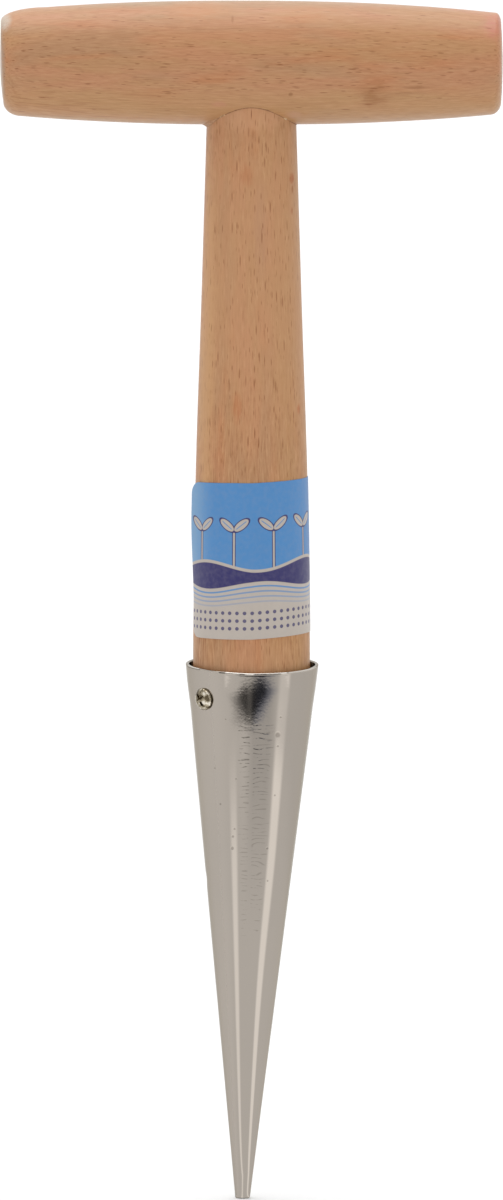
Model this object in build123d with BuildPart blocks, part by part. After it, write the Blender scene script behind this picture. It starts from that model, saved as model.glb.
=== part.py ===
"""T-handled garden dibber.

A tapered beech shaft is glued into the bored underside of a barrel-turned cross handle.
A rolled sheet-steel point is screwed over the nose of the shaft, and a paper label is
wrapped round the shaft above it.

Millimetres, +Z up. The origin is on the shaft's axis at the level of the tip, the handle
runs along X, and the front of the tool faces -Y. A bearing is an angle round the shaft,
counted from the front and positive to the right.
"""

import os
from math import atan, cos, radians, sin

from build123d import *

# Cross handle: a barrel turned about X, parallel where the shaft enters it
overall_height = 280.0
handle_length = 116.8
handle_mid_radius = 14.45
handle_parallel_half = 11.0
handle_shoulder_x = 38.0
handle_shoulder_radius = 13.5
handle_edge_x = 54.9
handle_edge_radius = 12.06
handle_flat_radius = 9.6

# Mortise bored up into the handle, and the glue between it and the tenon
mortise_depth = 19.5
glue_film = 0.12
glue_pocket = 0.4

# Shaft: parallel tenon, long taper, a slower taper under the label, then a parallel foot
neck_radius = 10.45
swell_radius = 13.0
swell_z = 169.2
foot_radius = 13.64
foot_z = 127.0

# Nose of the shaft, turned slimmer than the steel point so that the point can lean on it
nose_shoulder_z = 118.4
nose_end_radius = 10.0
nose_end_z = 90.0

# Rolled steel point, welded solid at the tip, which is to the left of the shaft's axis
cone_length = 124.4
cone_tip_radius = 1.7
cone_tip_solid = 18.0
cone_mouth_radius = 15.3
cone_wall = 0.8
cone_lean = 1.055
cone_tip_x = -2.1

# Screw through the point's wall into the nose
screw_bearing = -49.0
screw_height = 117.9
screw_head_radius = 2.65
screw_head_height = 2.0
screw_head_edge = 0.35
screw_crown_radius = 1.75
screw_crown_height = 1.65
screw_shank_radius = 1.45
screw_length = 12.7
screw_taper = 2.4
screw_play = 0.02
screw_hole_play = 0.25

# Label wrapped part of the way round the shaft
label_bottom_z = 131.2
label_top_z = 168.4
label_start = -78.0
label_end = 127.0
label_glue = 0.01
label_thickness = 0.15

# Values worked out from the sizes above
handle_half = handle_length / 2
handle_axis_z = overall_height - handle_mid_radius
handle_underside_z = handle_axis_z - handle_mid_radius
mortise_radius = neck_radius + glue_film
tenon_top_z = handle_underside_z + mortise_depth - glue_pocket

cone_slope = (cone_mouth_radius - cone_tip_radius) / cone_length
lean_sin = sin(radians(cone_lean))
lean_cos = cos(radians(cone_lean))
cone_wall_across = cone_wall / cos(atan(cone_slope))
hollow_tip_radius = cone_tip_radius + cone_tip_solid * cone_slope - cone_wall_across
seat_radius = cone_tip_radius + screw_height * cone_slope
seat_tilt = atan(cone_slope)


def bearing_direction(bearing):
    """Horizontal unit vector that points away from the shaft at a bearing."""
    return Vector(sin(radians(bearing)), -cos(radians(bearing)), 0)


# Planes and axes of the pieces that aren't square to the origin
handle_plane = Plane(origin=(0, 0, handle_axis_z), x_dir=(1, 0, 0), z_dir=(0, -1, 0))
handle_axis = Axis(handle_plane.origin, handle_plane.x_dir)
handle_end_plane = Plane(origin=handle_plane.origin, z_dir=handle_plane.x_dir)
cone_plane = Plane(origin=(cone_tip_x, 0, 0), x_dir=(lean_cos, 0, -lean_sin), z_dir=(0, -1, 0))
cone_axis = Axis(cone_plane.origin, cone_plane.y_dir)

screw_side = bearing_direction(screw_bearing)
screw_seat = Plane(
    origin=cone_plane.origin + cone_plane.y_dir * screw_height + screw_side * seat_radius,
    z_dir=screw_side * cos(seat_tilt) - Vector(0, 0, sin(seat_tilt)),
)
screw_plane = Plane(screw_seat.origin, x_dir=screw_seat.x_dir, z_dir=-screw_seat.y_dir)

label_side = bearing_direction(label_start)
label_plane = Plane((0, 0, 0), x_dir=label_side, z_dir=label_side.cross(Vector(0, 0, 1)))


def slow_taper_radius(height):
    """Radius of the shaft at a height between the swell and the foot."""
    return swell_radius + (foot_radius - swell_radius) * (swell_z - height) / (swell_z - foot_z)


def draw_slow_taper(top_z, bottom_z, grow=0.0):
    """Side of the shaft between two heights under the label, moved outwards."""
    top = (slow_taper_radius(top_z) + grow, top_z)
    bottom = (slow_taper_radius(bottom_z) + grow, bottom_z)
    return Bezier(top, bottom)


# Cross handle
with BuildPart() as cross_handle:
    with BuildSketch(handle_plane):
        with BuildLine():
            crown_start = (handle_parallel_half, handle_mid_radius)
            shoulder = (handle_shoulder_x, handle_shoulder_radius)
            crown = TangentArc(crown_start, shoulder, tangent=(1, 0))
            fall = TangentArc(shoulder, (handle_edge_x, handle_edge_radius), tangent=crown % 1)
            corner = TangentArc(fall @ 1, (handle_half, handle_flat_radius), tangent=fall % 1)
            Polyline(corner @ 1, (handle_half, 0), (0, 0), (0, handle_mid_radius), crown_start)
        make_face()
        mirror(about=Plane.YZ)
    revolve(axis=handle_axis)
    with BuildSketch(Plane.XY.offset(handle_underside_z)):
        Circle(mortise_radius)
    extrude(amount=mortise_depth, mode=Mode.SUBTRACT)

# Shaft
with BuildPart() as shaft:
    with BuildSketch(Plane.XZ):
        with BuildLine():
            slow_taper = draw_slow_taper(swell_z, foot_z)
            Polyline(
                slow_taper @ 0,
                (neck_radius, handle_underside_z),
                (neck_radius, tenon_top_z),
                (0, tenon_top_z),
                (0, nose_end_z),
                (nose_end_radius, nose_end_z),
                (foot_radius, nose_shoulder_z),
                slow_taper @ 1,
            )
        make_face()
    revolve(axis=Axis.Z)
    with BuildSketch(screw_seat):
        Circle(screw_shank_radius + screw_play)
    extrude(amount=-screw_length - screw_play, mode=Mode.SUBTRACT)

# Glue that fills the mortise round the tenon and over it
with BuildPart() as tenon_glue:
    with BuildSketch(Plane.XY.offset(handle_underside_z)):
        Circle(mortise_radius)
    extrude(amount=mortise_depth)
    with BuildSketch(handle_end_plane):
        Circle(handle_mid_radius)
    extrude(amount=handle_half, both=True, mode=Mode.INTERSECT)
    add(shaft.part, mode=Mode.SUBTRACT)

# Steel point
with BuildPart() as steel_cone:
    with BuildSketch(cone_plane):
        with BuildLine():
            Polyline(
                (0, 0),
                (cone_tip_radius, 0),
                (cone_mouth_radius, cone_length),
                (cone_mouth_radius - cone_wall_across, cone_length),
                (hollow_tip_radius, cone_tip_solid),
                (0, cone_tip_solid),
                close=True,
            )
        make_face()
    revolve(axis=cone_axis)
    with BuildSketch(screw_seat):
        Circle(screw_shank_radius + screw_hole_play)
    extrude(amount=2 * cone_wall, both=True, mode=Mode.SUBTRACT)

# Screw
with BuildPart() as cone_screw:
    with BuildSketch(screw_plane):
        with BuildLine():
            Polyline(
                (0, screw_head_height),
                (screw_crown_radius, screw_crown_height),
                (screw_head_radius, screw_head_edge),
                (screw_head_radius, 0),
                (screw_shank_radius, 0),
                (screw_shank_radius, screw_taper - screw_length),
                (0, -screw_length),
                close=True,
            )
        make_face()
    revolve(axis=Axis(screw_seat.origin, screw_seat.z_dir))

# Label
with BuildPart() as label:
    with BuildSketch(label_plane):
        with BuildLine():
            inside = draw_slow_taper(label_top_z, label_bottom_z, label_glue)
            outside = draw_slow_taper(label_top_z, label_bottom_z, label_glue + label_thickness)
            Line(inside @ 0, outside @ 0)
            Line(inside @ 1, outside @ 1)
        make_face()
    revolve(axis=Axis.Z, revolution_arc=label_end - label_start)

os.makedirs("parts", exist_ok=True)

cross_handle.part.label = "cross_handle"
shaft.part.label = "shaft"
tenon_glue.part.label = "tenon_glue"
steel_cone.part.label = "steel_cone"
cone_screw.part.label = "cone_screw"
label.part.label = "label"

for piece in (cross_handle, shaft, tenon_glue, steel_cone, cone_screw, label):
    export_step(piece.part, f"parts/{piece.part.label}.step")
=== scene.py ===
from math import atan, atan2, cos, exp, pi, radians, sin, sqrt, tau

import bmesh
import bpy
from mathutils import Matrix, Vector, noise


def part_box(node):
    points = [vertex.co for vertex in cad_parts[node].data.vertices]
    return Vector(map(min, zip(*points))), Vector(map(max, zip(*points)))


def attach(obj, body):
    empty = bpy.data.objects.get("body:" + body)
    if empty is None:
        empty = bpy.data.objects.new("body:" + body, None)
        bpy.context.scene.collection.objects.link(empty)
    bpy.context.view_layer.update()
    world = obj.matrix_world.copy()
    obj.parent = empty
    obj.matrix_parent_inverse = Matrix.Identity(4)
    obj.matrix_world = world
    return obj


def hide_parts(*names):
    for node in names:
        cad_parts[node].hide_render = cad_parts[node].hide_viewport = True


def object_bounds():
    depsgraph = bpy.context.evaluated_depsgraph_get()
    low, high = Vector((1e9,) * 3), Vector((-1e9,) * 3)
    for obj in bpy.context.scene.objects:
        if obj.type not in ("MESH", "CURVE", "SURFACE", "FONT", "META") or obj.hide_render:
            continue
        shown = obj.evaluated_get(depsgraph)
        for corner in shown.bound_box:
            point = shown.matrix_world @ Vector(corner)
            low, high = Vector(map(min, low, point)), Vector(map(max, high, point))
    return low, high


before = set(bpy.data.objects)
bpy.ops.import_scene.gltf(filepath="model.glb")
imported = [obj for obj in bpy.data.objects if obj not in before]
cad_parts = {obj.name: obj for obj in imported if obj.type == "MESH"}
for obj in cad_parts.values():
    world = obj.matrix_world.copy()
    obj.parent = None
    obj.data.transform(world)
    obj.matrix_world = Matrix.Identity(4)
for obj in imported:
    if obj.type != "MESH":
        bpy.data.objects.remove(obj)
cad_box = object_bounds()

# Looks of a T-handled garden dibber. Metres, +Z up, the front faces -Y and the handle runs along X.
# A bearing is an angle round the shaft, counted from the front and positive to the right.
# A turn is an angle round the handle, counted from its top towards the front.

MM = 0.001
BODY = "root"
SHARP = radians(38)

# Cross handle: length, girth and place come from the CAD solid
handle_low, handle_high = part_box("cross_handle")
HANDLE_HALF = handle_high.x
HANDLE_RADIUS = (handle_high.z - handle_low.z) / 2
HANDLE_Z = (handle_high.z + handle_low.z) / 2
BARREL_MIDDLE = -1.6 * MM
BARREL_SPAN = 54.7 * MM
BARREL_FALL = 2.25 * MM
BARREL_POWER = 2.3
HANDLE_DROOP = radians(0.1)
HANDLE_BOW = 0.1 * MM
# Unevenness from sanding: its depth, and its waves per metre along the handle and across it
SANDING = 0.05 * MM
SANDING_ALONG, SANDING_ACROSS = 60, 130
# Hand-sanded ends: dome of the face, then the corner above and below, as its reach along the handle and
# towards the axis, and the set-back of the face there
ENDS = {
    -1: {"dome": 0.15 * MM, "above": (10.6 * MM, 3.1 * MM, 0), "below": (4.3 * MM, 3.2 * MM, 0.55 * MM)},
    1: {"dome": 0.35 * MM, "above": (1.3 * MM, 2.6 * MM, 0), "below": (2.6 * MM, 3.1 * MM, 0)},
}

# Shaft and mortise: the side has heights and radii from the neck down to the nose's shoulder
shaft_low, shaft_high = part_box("shaft")
MORTISE_RADIUS = 10.57 * MM
GLUE_POCKET = 0.4 * MM
MORTISE_TOP = shaft_high.z + GLUE_POCKET
MORTISE_TEAR = 0.13 * MM
SHAFT_SIDE = [(z * MM, radius * MM) for z, radius in (
    (251.1, 10.45), (210.0, 11.68), (169.2, 13.02), (130.6, 13.6), (118.4, 13.64),
)]
NECK_RADIUS = SHAFT_SIDE[0][1]
NOSE_RADIUS = 10.0 * MM

# Glue squeezed out of the joint: bearings in degrees where a bead starts and ends, its reach out from the
# shaft, its drop below the handle and the seed of its rough edge
GLUE_BEADS = {
    "glue_fillet": (-150, -46, 1.25 * MM, 0.75 * MM, 3.1),
    "glue_crumb_left": (-45, -35, 0.42 * MM, 0.1 * MM, 5.3),
    "glue_crumb_right": (44, 53, 0.3 * MM, 0.2 * MM, 8.2),
}
# How far the beads reach into the wood that they stick to
GLUE_IN_SHAFT, GLUE_IN_MORTISE, GLUE_IN_HANDLE = 0.06 * MM, 0.15 * MM, 0.12 * MM

# Steel point: a thin rolled cone that leans to the left
CONE_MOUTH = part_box("steel_cone")[1].y
CONE_LENGTH = 124.4 * MM
CONE_TIP = 1.7 * MM
CONE_TIP_ROUND = 0.24 * MM
CONE_SOLID = 18.0 * MM
CONE_WALL = 0.8 * MM
CONE_LEAN = radians(1.055)
CONE_FOOT = Vector((-2.1 * MM, 0, 0))
CONE_UP = Vector((sin(CONE_LEAN), 0, cos(CONE_LEAN)))
CONE_RIGHT = Vector((cos(CONE_LEAN), 0, -sin(CONE_LEAN)))
CONE_FRONT = Vector((0, -1, 0))
RIM_WAVE = 0.1 * MM
RIM_RISE = 0.8 * MM
RIM_SKEW = 0.3 * MM
RIM_FLARE = 0.22 * MM
RIM_FLARE_FOOT, RIM_FLARE_TOP = 113 * MM, 121 * MM
# Section of the rim: distance in from the outside and distance below the edge
RIM_SECTION = [(part * MM, below * MM) for part, below in (
    (0.0, 0.26), (0.02, 0.16), (0.07, 0.07), (0.16, 0.015), (0.26, 0.0), (0.5, 0.0),
    (0.66, 0.02), (0.75, 0.08), (0.79, 0.16), (0.8, 0.26),
)]
# Marks on the point: its seam at the back, waves from the rolling, a dent on the left, and ripples across
# the front, which are full between two heights and gone beyond two others
SEAM_DEPTH, SEAM_WIDTH = 0.12 * MM, radians(1.6)
ROLLING_DEPTH = 0.012 * MM
DENT_BEARING, DENT_HEIGHT, DENT_RADIUS = radians(-88), 75 * MM, 10 * MM
DENT_DEPTH, DENT_REACH = 0.14 * MM, 1.3 * MM
RIPPLE_MIDDLE, RIPPLE_REACH = radians(5), radians(20)
RIPPLE_LOW, RIPPLE_FULL_LOW = 56 * MM, 82 * MM
RIPPLE_FULL_HIGH, RIPPLE_HIGH = 111 * MM, 115 * MM
RIPPLE_DEPTH, RIPPLE_PITCH = 0.0015 * MM, 1.05 * MM

# Screw in the point's wall
SCREW_BEARING = radians(-49)
SCREW_HEIGHT = 117.9 * MM
SCREW_HEAD = 2.6 * MM
SCREW_EDGE = 0.3 * MM
SCREW_BEVEL = 0.08 * MM
SCREW_DOME = 1.6 * MM
SCREW_SHANK = 1.45 * MM
SCREW_LENGTH = 12.7 * MM
SCREW_PLAIN = 3.0 * MM
SCREW_TAPER = 2.4 * MM
THREAD_PITCH, THREAD_DEPTH = 1.1 * MM, 0.3 * MM
# Holes for the screw: radii in the point and in the shaft, depth in the point and height where cuts start
SCREW_HOLE, PILOT_HOLE = 1.7 * MM, 1.47 * MM
HOLE_DEPTH, CUT_START = 3 * MM, 2 * MM
# Cross recess: length and half width of an arm, height of its floor, and its turn
RECESS_ARM, RECESS_HALF = 1.7 * MM, 0.42 * MM
RECESS_FLOOR = 0.5 * MM
RECESS_TURN = radians(28)

# Label round the shaft
label_low, label_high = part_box("label")
LABEL_BOTTOM = label_low.z
LABEL_TOP = label_high.z
LABEL_START = radians(-78)
LABEL_END = radians(127)
LABEL_THICKNESS = 0.15 * MM
LABEL_GAP = 0.01 * MM
LABEL_CORNER = 3.0 * MM
LABEL_LIFT, LABEL_LIFT_REACH, LABEL_LIFT_FOOT = 0.95 * MM, 7.0 * MM, 0.12
# It sits a little askew: how far its upper and lower edges stand above the solid's at the front, how much
# further they rise to the right, the lower one's share of fall and the upper one's droop to the left
LABEL_HEAD, LABEL_HEAD_RISE = 0.09 * MM, 0.58 * MM
LABEL_FOOT, LABEL_FOOT_RISE, LABEL_FOOT_FALL = 0.88 * MM, 0.9 * MM, 0.15
LABEL_DROOP, LABEL_DROOP_START = 0.38 * MM, radians(-10)

# Photograph in pixels: size, margin and raise of the object, and the shaft's axis. Then the camera.
PHOTO_WIDTH, PHOTO_HEIGHT = 503, 1200
PHOTO_MARGIN = 1.8
PHOTO_RAISE = 0.5
PHOTO_AXIS = 251.5
CAMERA_RISE = radians(5)
CAMERA_DISTANCE = 5.0
CLIP_END = 200.0
SENSOR = 36.0


def smooth(low, high, value):
    """Eases from 0 at low to 1 at high."""
    t = min(max((value - low) / (high - low), 0), 1)
    return t * t * (3 - 2 * t)


def spread(low, high, count):
    """Evenly spaced values from low to high."""
    return [low + (high - low) * i / (count - 1) for i in range(count)]


def circle(count):
    """Evenly spaced angles of a full turn."""
    return [tau * i / count for i in range(count)]


def round_shaft(bearing, radius, z):
    return Vector((radius * sin(bearing), -radius * cos(bearing), z))


def round_handle(turn, radius, x):
    droop = x * HANDLE_DROOP + HANDLE_BOW * (x / HANDLE_HALF) ** 2
    return Vector((x, -radius * sin(turn), HANDLE_Z - droop + radius * cos(turn)))


def round_cone(bearing, radius, height):
    across = CONE_RIGHT * sin(bearing) + CONE_FRONT * cos(bearing)
    return CONE_FOOT + CONE_UP * height + across * radius


# Meshes


def lathe(rings):
    """Closed mesh of rings of points round an axis, each end closed by a fan."""
    mesh = bmesh.new()
    rows = [[mesh.verts.new(point) for point in ring] for ring in rings]
    for row, following in zip(rows, rows[1:]):
        for i in range(len(row)):
            mesh.faces.new((row[i - 1], row[i], following[i], following[i - 1]))
    for row in (rows[0], rows[-1]):
        centre = mesh.verts.new(sum((v.co for v in row), Vector()) / len(row))
        for i in range(len(row)):
            mesh.faces.new((row[i - 1], row[i], centre))
    bmesh.ops.recalc_face_normals(mesh, faces=mesh.faces)
    return mesh


def add_object(name, data):
    made = bpy.data.objects.new(name, data)
    bpy.context.scene.collection.objects.link(made)
    return made


def as_object(name, mesh):
    data = bpy.data.meshes.new(name)
    mesh.to_mesh(data)
    mesh.free()
    return add_object(name, data)


def cut(name, mesh, *cutters):
    """Mesh with the cutters' shapes taken out of it."""
    body = as_object(name, mesh)
    tools = [as_object(name + "_cutter", cutter) for cutter in cutters]
    for tool in tools:
        modifier = body.modifiers.new("cut", "BOOLEAN")
        modifier.object = tool
        modifier.operation = "DIFFERENCE"
        modifier.solver = "EXACT"
    result = bmesh.new()
    result.from_object(body, bpy.context.evaluated_depsgraph_get())
    for spare in (body, *tools):
        bpy.data.objects.remove(spare)
    return result


def add_piece(name, mesh, material, node=None):
    """Adds a mesh as a piece of the object, in place of a CAD node if one is named."""
    piece = as_object(name, mesh)
    piece.data.shade_smooth()
    piece.data.set_sharp_from_angle(angle=SHARP)
    piece.data.materials.append(material)
    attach(piece, BODY)
    if node:
        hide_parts(node)
    return piece


def mark_points(piece, name, value):
    """Stores a vector for each point, for the material to read."""
    layer = piece.data.attributes.new(name, "FLOAT_VECTOR", "POINT")
    for vertex, item in zip(piece.data.vertices, layer.data):
        item.vector = value(vertex.co)


# Cross handle


def barrel_radius(x):
    return HANDLE_RADIUS - BARREL_FALL * (abs(x - BARREL_MIDDLE) / BARREL_SPAN) ** BARREL_POWER


def corner(turn, side, part):
    """Place on the sanded corner: part runs from 0 at the barrel to 1 at the end face."""
    end, share = ENDS[side], (1 + cos(turn)) / 2
    pairs = zip(end["above"], end["below"])
    along, inwards, back = [up * share + down * (1 - share) for up, down in pairs]
    shoulder = HANDLE_HALF - end["dome"] - back - along
    radius = barrel_radius(side * shoulder) - inwards * (1 - cos(part * pi / 2))
    return side * (shoulder + along * sin(part * pi / 2)), radius


def handle_ring(place, *values, columns=144):
    """Ring of points, at the place and the radius that a function gives for each turn."""
    ring = []
    for turn in circle(columns):
        x, radius = place(turn, *values)
        across = radius * SANDING_ACROSS
        rough = noise.noise(Vector((x * SANDING_ALONG, across * cos(turn), across * sin(turn))))
        ring.append(round_handle(turn, radius + SANDING * (rough - 1) / 2, x))
    return ring


def end_face(turn, side, part):
    edge, radius = corner(turn, side, 1)
    return side * HANDLE_HALF + (edge - side * HANDLE_HALF) * part**2, radius * part


def barrel(turn, part):
    start, end = corner(turn, -1, 0)[0], corner(turn, 1, 0)[0]
    x = start + (end - start) * part
    return x, barrel_radius(x)


def build_handle():
    faces, corners = spread(0.15, 0.9, 6), spread(0, 1, 9)[1:]
    rings = [handle_ring(end_face, -1, part) for part in faces]
    rings += [handle_ring(corner, -1, part) for part in corners[::-1]]
    rings += [handle_ring(barrel, part) for part in spread(0, 1, 110)]
    rings += [handle_ring(corner, 1, part) for part in corners]
    rings += [handle_ring(end_face, 1, part) for part in faces[::-1]]
    return cut("handle", lathe(rings), mortise_cutter())


def mortise_cutter():
    """Bore for the tenon, torn a little at its mouth."""
    mouth = HANDLE_Z - HANDLE_RADIUS
    levels = [mouth - 5 * MM, *spread(mouth - 0.5 * MM, mouth + 7 * MM, 40), MORTISE_TOP]
    return lathe([mortise_ring(z) for z in levels])


def mortise_ring(z, columns=180):
    ring = []
    for bearing in circle(columns):
        ragged = noise.noise(Vector((3 * cos(bearing), 3 * sin(bearing), 1.7)))
        ragged += 0.5 * noise.noise(Vector((9 * cos(bearing), 9 * sin(bearing), z / MM)))
        deep = smooth(0.1 * MM, 1.3 * MM, z - saddle(bearing, MORTISE_RADIUS))
        tear = MORTISE_TEAR * max(0.35 + ragged, 0) * (1 - deep)
        ring.append(round_shaft(bearing, MORTISE_RADIUS + tear, z))
    return ring


# Shaft


def shaft_radius(z):
    """Radius of the shaft's side, on a smooth curve through its knots."""
    knots = SHAFT_SIDE
    slopes = [(b[1] - a[1]) / (b[0] - a[0]) for a, b in zip(knots, knots[1:])]
    ends = [slopes[0], *[(a + b) / 2 for a, b in zip(slopes, slopes[1:])], slopes[-1]]
    for (above, below), (m_above, m_below) in zip(zip(knots, knots[1:]), zip(ends, ends[1:])):
        if z >= below[0]:
            break
    step = below[0] - above[0]
    t = (z - above[0]) / step
    bend = (2 * t**3 - 3 * t**2 + 1) * above[1] + (3 * t**2 - 2 * t**3) * below[1]
    return bend + step * ((t**3 - 2 * t**2 + t) * m_above + (t**3 - t**2) * m_below)


def shaft_ring(radius, z, columns=144):
    return [round_shaft(bearing, radius, z) for bearing in circle(columns)]


def build_shaft():
    neck_z, foot_z = SHAFT_SIDE[0][0], SHAFT_SIDE[-1][0]
    rings = [shaft_ring(NECK_RADIUS, z) for z in spread(shaft_high.z, neck_z, 8)[:-1]]
    rings += [shaft_ring(shaft_radius(z), z) for z in spread(neck_z, foot_z, 120)]
    foot_radius = SHAFT_SIDE[-1][1]
    for part in spread(0, 1, 12)[1:]:
        radius = foot_radius + (NOSE_RADIUS - foot_radius) * part
        rings.append(shaft_ring(radius, foot_z + (shaft_low.z - foot_z) * part))
    return cut("shaft", lathe(rings), screw_cutter(SCREW_LENGTH, PILOT_HOLE))


# Glue squeezed out of the joint


def saddle(bearing, radius):
    """Height of the handle's underside where a ring round the shaft meets it."""
    x, y = radius * sin(bearing), radius * cos(bearing)
    return HANDLE_Z - sqrt(barrel_radius(x) ** 2 - y * y)


def build_glue_bead(start, end, reach, drop, seed, steps=60):
    """Fillet of dried glue between the shaft and the underside of the handle."""
    rings = []
    for i, bearing in enumerate(spread(radians(start), radians(end), steps)):
        rough = noise.noise(Vector((bearing * 5, seed, 0)))
        share = sin(pi * (i + 0.4) / (steps - 0.2)) ** 0.5 * (0.92 + 0.25 * rough)
        inside, mouth = NECK_RADIUS - GLUE_IN_SHAFT, saddle(bearing, MORTISE_RADIUS)
        ring = [(inside, mouth + GLUE_IN_MORTISE), (inside, mouth - drop * share)]
        for t in spread(0.05, 1, 9):
            radius = NECK_RADIUS + reach * share * t**1.2
            ring.append((radius, saddle(bearing, radius) - drop * share * (1 - t) ** 1.2))
        outside = NECK_RADIUS + reach * share
        ring.append((outside, saddle(bearing, outside) + GLUE_IN_HANDLE))
        rings.append([round_shaft(bearing, radius, z) for radius, z in ring])
    return lathe(rings)


# Steel point


def ripple_share(bearing, height):
    """How strongly the point is rippled at a place, from 0 to 1."""
    aside = 1 - smooth(0.5, 1, abs(bearing - RIPPLE_MIDDLE) / RIPPLE_REACH)
    rise = smooth(RIPPLE_LOW, RIPPLE_FULL_LOW, height)
    return aside * rise * (1 - smooth(RIPPLE_FULL_HIGH, RIPPLE_HIGH, height))


def ripple(bearing, height):
    """Height of the broad ripples across the front of the point."""
    wave = noise.noise(Vector((bearing * 5, height / RIPPLE_PITCH, 2.5)))
    return RIPPLE_DEPTH * wave * ripple_share(bearing, height)


def cone_radius(height):
    return CONE_TIP + (CONE_MOUTH - CONE_TIP) * height / CONE_LENGTH


def cone_relief(bearing, height):
    """What the rolling and handling left on the outside of the point."""
    swing = (bearing + pi) % tau - pi
    seam = -SEAM_DEPTH * exp(-(((abs(swing) - pi) / SEAM_WIDTH) ** 2))
    wave = noise.noise(Vector((cos(bearing) * 1.4, sin(bearing) * 1.4, height * 45)))
    dent_off = ((swing - DENT_BEARING) * DENT_RADIUS) ** 2 + (height - DENT_HEIGHT) ** 2
    dent = -DENT_DEPTH * exp(-dent_off / DENT_REACH**2)
    return seam + ROLLING_DEPTH * wave + dent + ripple(swing, height)


def rim_lift(bearing, height):
    """The rim isn't cut quite level: it is lowest at the front."""
    wobble = noise.noise(Vector((cos(bearing) * 2.2, sin(bearing) * 2.2, 3.7)))
    skew = RIM_SKEW * max(sin(bearing), 0) ** 2
    rise = RIM_RISE * (1 - cos(bearing)) + skew + RIM_WAVE * wobble
    return rise * smooth(0.85 * CONE_LENGTH, CONE_LENGTH, height)


def rim_flare(bearing, height):
    """The mouth is a little oval, wider at its sides."""
    share = RIM_FLARE * sin(bearing) ** 2 * (1 - 0.3 * sin(bearing))
    return share * smooth(RIM_FLARE_FOOT, RIM_FLARE_TOP, height)


def cone_ring(radius, height, relief=False, columns=220):
    ring = []
    for bearing in circle(columns):
        extra = rim_flare(bearing, height) + (cone_relief(bearing, height) if relief else 0)
        ring.append(round_cone(bearing, radius + extra, height + rim_lift(bearing, height)))
    return ring


def build_point():
    side_low, side_high = CONE_TIP_ROUND, CONE_LENGTH - RIM_SECTION[0][1]
    rings = [cone_ring(part * (CONE_TIP - CONE_TIP_ROUND), 0) for part in (0.3, 0.7, 1)]
    for part in spread(0, pi / 2, 6)[1:-1]:
        radius = CONE_TIP - CONE_TIP_ROUND * (1 - sin(part))
        rings.append(cone_ring(radius, CONE_TIP_ROUND * (1 - cos(part))))
    for height in spread(side_low, RIPPLE_LOW, 110)[:-1] + spread(RIPPLE_LOW, side_high, 210)[:-1]:
        rings.append(cone_ring(cone_radius(height), height, relief=True))
    for inwards, below in RIM_SECTION:
        rings.append(cone_ring(cone_radius(side_high) - inwards, CONE_LENGTH - below))
    for height in spread(side_high, CONE_SOLID, 40)[1:]:
        rings.append(cone_ring(cone_radius(height) - CONE_WALL, height))
    return cut("point", lathe(rings), screw_cutter(HOLE_DEPTH, SCREW_HOLE))


def on_point(point):
    """Bearing of a place on the steel point, and its height above the tip."""
    offset = point - CONE_FOOT
    return atan2(offset.dot(CONE_RIGHT), offset.dot(CONE_FRONT)), offset.dot(CONE_UP)


def cone_place(point):
    """Millimetres round the point from its front and up from its tip, and the share of ripples there."""
    bearing, height = on_point(point)
    return Vector((bearing * cone_radius(height) / MM, height / MM, ripple_share(bearing, height)))


def rim_place(point):
    """Millimetres round the point from its front, down from its edge and from the seam at the back."""
    bearing, height = on_point(point)
    edge = CONE_LENGTH + rim_lift(bearing, CONE_LENGTH)
    from_seam = (pi - abs(bearing)) * cone_radius(height)
    return Vector((bearing * CONE_MOUTH, edge - height, from_seam)) / MM


# Screw


def screw_seat():
    """Middle of the screw's seat on the point, and the direction out of it."""
    slope = (CONE_MOUTH - CONE_TIP) / CONE_LENGTH
    aside = round_shaft(SCREW_BEARING, 1, 0)
    seat = CONE_FOOT + CONE_UP * SCREW_HEIGHT + aside * (CONE_TIP + SCREW_HEIGHT * slope)
    tilt = atan(slope)
    return seat, aside * cos(tilt) - Vector((0, 0, sin(tilt)))


def screw_axes():
    seat, outwards = screw_seat()
    up = (Vector((0, 0, 1)) - outwards * outwards.z).normalized()
    return seat, outwards, up, up.cross(outwards)


def screw_cutter(depth, radius, columns=48):
    """Plain round cutter along the screw."""
    seat, outwards = screw_seat()
    inwards = (-outwards).normalized()
    side = inwards.orthogonal().normalized()
    other = inwards.cross(side)
    ring = [(side * cos(a) + other * sin(a)) * radius for a in circle(columns)]
    start = seat + outwards * CUT_START
    return lathe([[start + inwards * reach + p for p in ring] for reach in (0, CUT_START + depth)])


def screw_ring(radius, height, columns=64, thread=0.0):
    seat, outwards, up, side = screw_axes()
    ring = []
    for turn in circle(columns):
        wave = (height / THREAD_PITCH + turn / tau) % 1
        r = radius - thread * min(1, 4 * abs(wave - 0.5))
        ring.append(seat + outwards * height + (up * cos(turn) + side * sin(turn)) * r)
    return ring


def cross_recess():
    """Tapered cross that a driver fits, cut down into the head."""
    seat, outwards, up, side = screw_axes()
    outline = [(RECESS_HALF, RECESS_HALF), (RECESS_HALF, RECESS_ARM), (-RECESS_HALF, RECESS_ARM)]
    rings = []
    for height, scale in ((SCREW_DOME + 0.4 * MM, 1.15), (RECESS_FLOOR, 0.55)):
        ring = []
        for quarter in range(4):
            turn = RECESS_TURN + quarter * pi / 2
            for across, along in outline:
                x = across * cos(turn) - along * sin(turn)
                y = across * sin(turn) + along * cos(turn)
                ring.append(seat + outwards * height + (up * y + side * x) * scale)
        rings.append(ring)
    return lathe(rings)


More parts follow.
